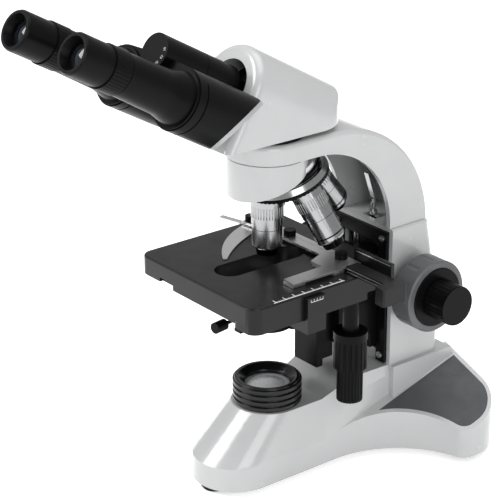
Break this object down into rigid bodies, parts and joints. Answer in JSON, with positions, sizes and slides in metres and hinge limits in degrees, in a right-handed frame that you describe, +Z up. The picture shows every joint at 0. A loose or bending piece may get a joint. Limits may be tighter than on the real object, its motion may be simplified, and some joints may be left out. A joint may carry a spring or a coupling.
{
  "type": "compound microscope",
  "caption": "Upright compound microscope with an inclined binocular head, rotating nosepiece, mechanical stage, condenser, coaxial focus and built-in base lamp.",
  "frame": {"origin": "centre of the object's bounding box footprint, on the table plane", "axes": "+Z up, -Y towards the user's side, +X to the user's right"},
  "size_m": [0.2166, 0.3789, 0.4094],
  "materials": {
    "white_paint": "gloss",
    "grey_plastic": "satin",
    "light_grey": "satin",
    "black_plastic": "satin",
    "black_metal": "satin",
    "chrome": "polished",
    "steel": "brushed",
    "glass": "polished",
    "rubber": "matte"
  },
  "bodies": {
    "stand": {"base": "white_paint", "bottom_plate": "steel", "rubber_feet": "rubber", "side_panels": "grey_plastic", "illuminator_collar": "black_plastic", "illuminator_lens": "glass", "lamp_board": "black_plastic", "limb": "white_paint", "arm": "white_paint", "focus_plate": "black_metal", "cover_screws": "steel", "focus_stop": "steel", "turret_pivot": "steel", "power_inlet": "black_plastic"},
    "nosepiece": {"turret_disc": "chrome", "turret_grip": "black_plastic", "objective_10x": "chrome", "objective_40x": "chrome", "objective_100x": "chrome", "objective_4x": "chrome"},
    "carriage": {"stage_carriage": "black_metal", "lower_stage": "black_metal", "condenser_slideway": "black_metal"},
    "coarse_drive": {"coarse_knobs": "grey_plastic", "coarse_knob_faces": "black_plastic", "coarse_pinion": "steel"},
    "fine_drive": {"fine_knobs": "black_plastic", "fine_shaft": "steel"},
    "stage": {"stage_top": "black_metal", "rail_guide": "black_metal", "control_stem": "black_metal"},
    "y_control": {"y_knob": "black_plastic"},
    "x_control": {"x_knob": "black_plastic"},
    "slide_carrier": {"x_rail": "black_metal", "slide_holder": "steel", "holder_posts": "black_plastic"},
    "finger": {"spring_finger": "steel"},
    "condenser_unit": {"condenser_carrier": "black_metal", "condenser": "black_metal", "condenser_lens": "glass"},
    "condenser_control": {"condenser_knob": "black_plastic"},
    "iris_control": {"iris_lever": "black_metal"},
    "filter_arm": {"filter_tray": "black_metal"},
    "head": {"head_ring": "black_metal", "head_body": "white_paint", "head_prism": "glass", "hinge_axle": "black_metal"},
    "right_arm": {"right_prism_arm": "black_plastic", "right_back_plate": "light_grey", "right_eye_tube": "black_plastic"},
    "left_arm": {"left_prism_arm": "black_plastic", "left_back_plate": "light_grey", "left_eye_tube": "black_plastic"},
    "dioptre": {"dioptre_ring": "black_plastic"},
    "right_ocular": {"right_eyepiece": "black_plastic", "right_eye_lens": "glass"},
    "left_ocular": {"left_eyepiece": "black_plastic", "left_eye_lens": "glass"},
    "dimmer": {"brightness_dial": "black_plastic"},
    "switch": {"power_switch": "black_plastic"}
  },
  "joints": [
    {"name": "head_turn", "type": "hinge", "parent": "stand", "child": "head", "pos_m": [-0.0067, 0.01631, 0.292], "axis": [0, 0, 1], "continuous": true},
    {"name": "right_spread", "type": "hinge", "parent": "head", "child": "right_arm", "pos_m": [-0.0067, 0.01631, 0.3127], "axis": [0, -0.866, 0.5], "range_deg": [-19, 3.5]},
    {"name": "left_spread", "type": "hinge", "parent": "head", "child": "left_arm", "pos_m": [-0.0067, 0.01631, 0.3127], "axis": [0, -0.866, 0.5], "range_deg": [-3.5, 19]},
    {"name": "right_ocular_pull", "type": "slide", "parent": "right_arm", "child": "right_ocular", "axis": [0, -0.866, 0.5], "range_m": [0, 0.03]},
    {"name": "left_ocular_pull", "type": "slide", "parent": "left_arm", "child": "left_ocular", "axis": [0, -0.866, 0.5], "range_m": [0, 0.03]},
    {"name": "dioptre_turn", "type": "hinge", "parent": "left_arm", "child": "dioptre", "pos_m": [-0.0427, -0.15064, 0.37953], "axis": [0, -0.866, 0.5], "range_deg": [-120, 120]},
    {"name": "nosepiece_turn", "type": "hinge", "parent": "stand", "child": "nosepiece", "pos_m": [-0.0067, 0.03511, 0.24734], "axis": [0, -0.342, 0.9397], "continuous": true},
    {"name": "coarse_focus", "type": "slide", "parent": "stand", "child": "carriage", "axis": [0, 0, 1], "range_m": [-0.013, 0.0002]},
    {"name": "coarse_turn", "type": "hinge", "parent": "stand", "child": "coarse_drive", "pos_m": [-0.0067, 0.13531, 0.142], "axis": [1, 0, 0], "range_deg": [-12, 126]},
    {"name": "fine_turn", "type": "hinge", "parent": "stand", "child": "fine_drive", "pos_m": [-0.0067, 0.13531, 0.142], "axis": [1, 0, 0], "continuous": true},
    {"name": "stage_y", "type": "slide", "parent": "carriage", "child": "stage", "axis": [0, 1, 0], "range_m": [-0.02, 0.018]},
    {"name": "y_knob_turn", "type": "hinge", "parent": "stage", "child": "y_control", "pos_m": [0.0483, 0.05631, 0.11], "axis": [0, 0, 1], "range_deg": [-130, 130]},
    {"name": "stage_x", "type": "slide", "parent": "stage", "child": "slide_carrier", "axis": [1, 0, 0], "range_m": [-0.028, 0.035]},
    {"name": "x_knob_turn", "type": "hinge", "parent": "stage", "child": "x_control", "pos_m": [0.0483, 0.05631, 0.08], "axis": [0, 0, 1], "range_deg": [-165, 205]},
    {"name": "finger_swing", "type": "hinge", "parent": "slide_carrier", "child": "finger", "pos_m": [-0.0687, 0.04931, 0.189], "axis": [0, 0, 1], "range_deg": [-28, 0], "stiffness_Nm_per_rad": 0.03, "springref_deg": 20.05},
    {"name": "condenser_focus", "type": "slide", "parent": "carriage", "child": "condenser_unit", "axis": [0, 0, 1], "range_m": [-0.018, 0]},
    {"name": "condenser_knob_turn", "type": "hinge", "parent": "carriage", "child": "condenser_control", "pos_m": [-0.0257, 0.06531, 0.122], "axis": [-1, 0, 0], "range_deg": [-212, 5]},
    {"name": "iris_swing", "type": "hinge", "parent": "condenser_unit", "child": "iris_control", "pos_m": [-0.0067, 0.01631, 0.144], "axis": [0, 0, 1], "range_deg": [-25, 7]},
    {"name": "filter_swing", "type": "hinge", "parent": "condenser_unit", "child": "filter_arm", "pos_m": [0.0133, 0.02632, 0.13], "axis": [0, 0, 1], "range_deg": [0, 75]},
    {"name": "dimmer_turn", "type": "hinge", "parent": "stand", "child": "dimmer", "pos_m": [-0.0467, 0.03632, 0.038], "axis": [1, 0, 0], "range_deg": [-135, 135]},
    {"name": "switch_rock", "type": "hinge", "parent": "stand", "child": "switch", "pos_m": [-0.0477, 0.18482, 0.025], "axis": [1, 0, 0], "range_deg": [-10, 0]}
  ],
  "couplings": [
    {"joint": "left_spread", "follows": "right_spread", "ratio": -1},
    {"joint": "coarse_turn", "follows": "coarse_focus", "rad_per_m": -166.67},
    {"joint": "y_knob_turn", "follows": "stage_y", "rad_per_m": 100},
    {"joint": "x_knob_turn", "follows": "stage_x", "rad_per_m": 100},
    {"joint": "condenser_knob_turn", "follows": "condenser_focus", "rad_per_m": 200}
  ]
}
